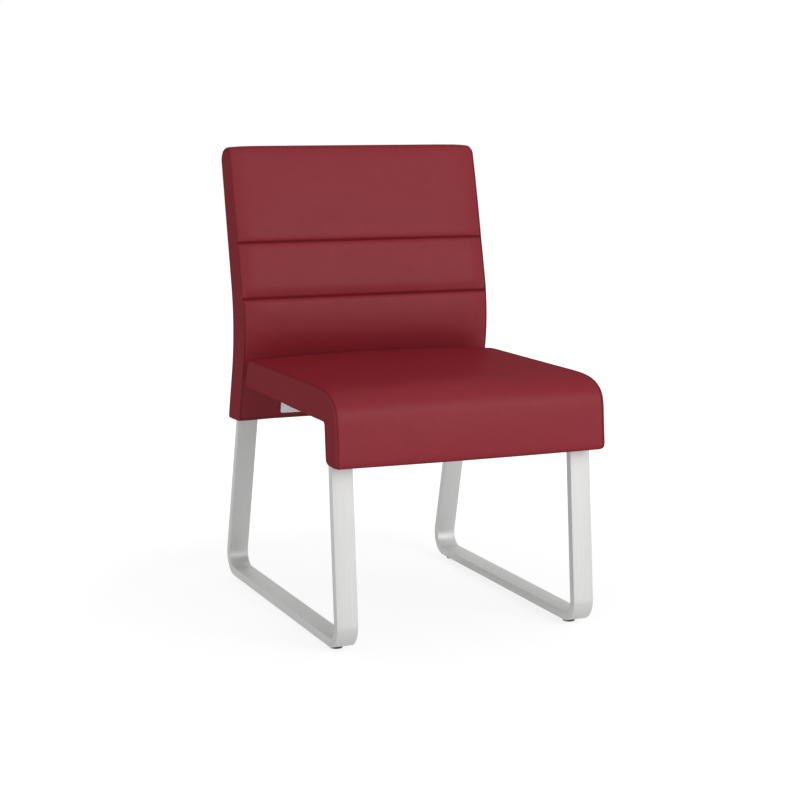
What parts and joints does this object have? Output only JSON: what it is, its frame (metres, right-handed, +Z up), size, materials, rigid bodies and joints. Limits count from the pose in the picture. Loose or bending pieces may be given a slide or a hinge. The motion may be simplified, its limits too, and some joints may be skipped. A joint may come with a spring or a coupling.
{
  "type": "sled base visitor chair",
  "caption": "Armless visitor chair with an upholstered seat and back on bent flat steel sled frames; channelled lumbar back and waterfall seat front.",
  "frame": {"origin": "on the floor under the middle of the bounding box", "axes": "+Z up, the chair faces -Y, +X to the viewer's right when the chair is seen from the front"},
  "size_m": [0.498, 0.6328, 0.832],
  "materials": {
    "upholstery": "smooth burgundy faux leather, fine mottled grain, soft sheen, matching thread",
    "frame": "satin brushed flat bar, brushed along its length",
    "bracket": "zinc plated plate, matt",
    "fastener": "zinc plated",
    "glide": "moulded dark grey plastic",
    "plywood": "raw birch plywood",
    "hardwood": "raw hardwood",
    "foam": "open cell upholstery foam",
    "dust_cover": "black non-woven cloth"
  },
  "bodies": {
    "root": {"apron_board": "plywood", "apron_screw_left": "fastener", "apron_screw_middle": "fastener", "apron_screw_right": "fastener", "back_cover_lower": "upholstery", "back_cover_middle": "upholstery", "back_cover_rear": "upholstery", "back_cover_upper": "upholstery", "back_foam": "foam", "back_foot_rail": "hardwood", "back_panel": "plywood", "back_rear_foam": "foam", "back_side_left": "upholstery", "back_side_right": "upholstery", "deck_screw_left": "fastener", "deck_screw_middle": "fastener", "deck_screw_right": "fastener", "front_lower_left_bolt": "fastener", "front_lower_left_tee_nut": "fastener", "front_lower_right_bolt": "fastener", "front_lower_right_tee_nut": "fastener", "front_upper_left_bolt": "fastener", "front_upper_left_tee_nut": "fastener", "front_upper_right_bolt": "fastener", "front_upper_right_tee_nut": "fastener", "glide_front_left": "glide", "glide_front_right": "glide", "glide_rear_left": "glide", "glide_rear_right": "glide", "glide_stud_front_left": "fastener", "glide_stud_front_right": "fastener", "glide_stud_rear_left": "fastener", "glide_stud_rear_right": "fastener", "rail_screw_left": "fastener", "rail_screw_middle": "fastener", "rail_screw_right": "fastener", "rear_lower_left_bolt": "fastener", "rear_lower_left_tee_nut": "fastener", "rear_lower_right_bolt": "fastener", "rear_lower_right_tee_nut": "fastener", "rear_upper_left_bolt": "fastener", "rear_upper_left_tee_nut": "fastener", "rear_upper_right_bolt": "fastener", "rear_upper_right_tee_nut": "fastener", "seat_back_bracket": "bracket", "seat_cover": "upholstery", "seat_deck": "plywood", "seat_dust_cover": "dust_cover", "seat_foam": "foam", "seat_side_left": "upholstery", "seat_side_right": "upholstery", "sled_left": "frame", "sled_right": "frame"}
  },
  "joints": []
}
